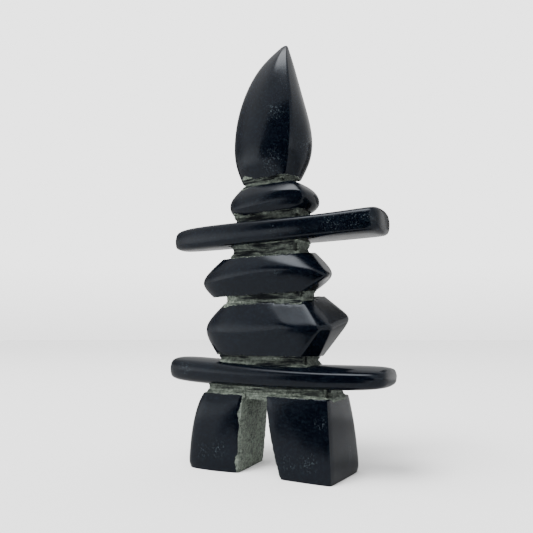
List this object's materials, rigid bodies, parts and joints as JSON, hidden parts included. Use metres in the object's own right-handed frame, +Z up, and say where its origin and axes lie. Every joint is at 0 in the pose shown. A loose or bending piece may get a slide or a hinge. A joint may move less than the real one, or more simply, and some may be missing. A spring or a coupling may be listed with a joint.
{
  "type": "stone cairn carving",
  "caption": "Inuksuk-shaped stone cairn carved from one block: legs, two long cross slabs, a faceted body and a pointed head, parted by rough cut grooves.",
  "frame": {"origin": "on the ground under the middle of the carving's box", "axes": "+Z up through the head, +X along the two cross slabs, -Y the front that the broad faces look towards"},
  "size_m": [0.1676, 0.0484, 0.3005],
  "materials": {
    "dark_serpentine": "polished, with rough chiselled grooves"
  },
  "bodies": {
    "root": {"inuksuk_carving": "dark_serpentine"}
  },
  "joints": []
}
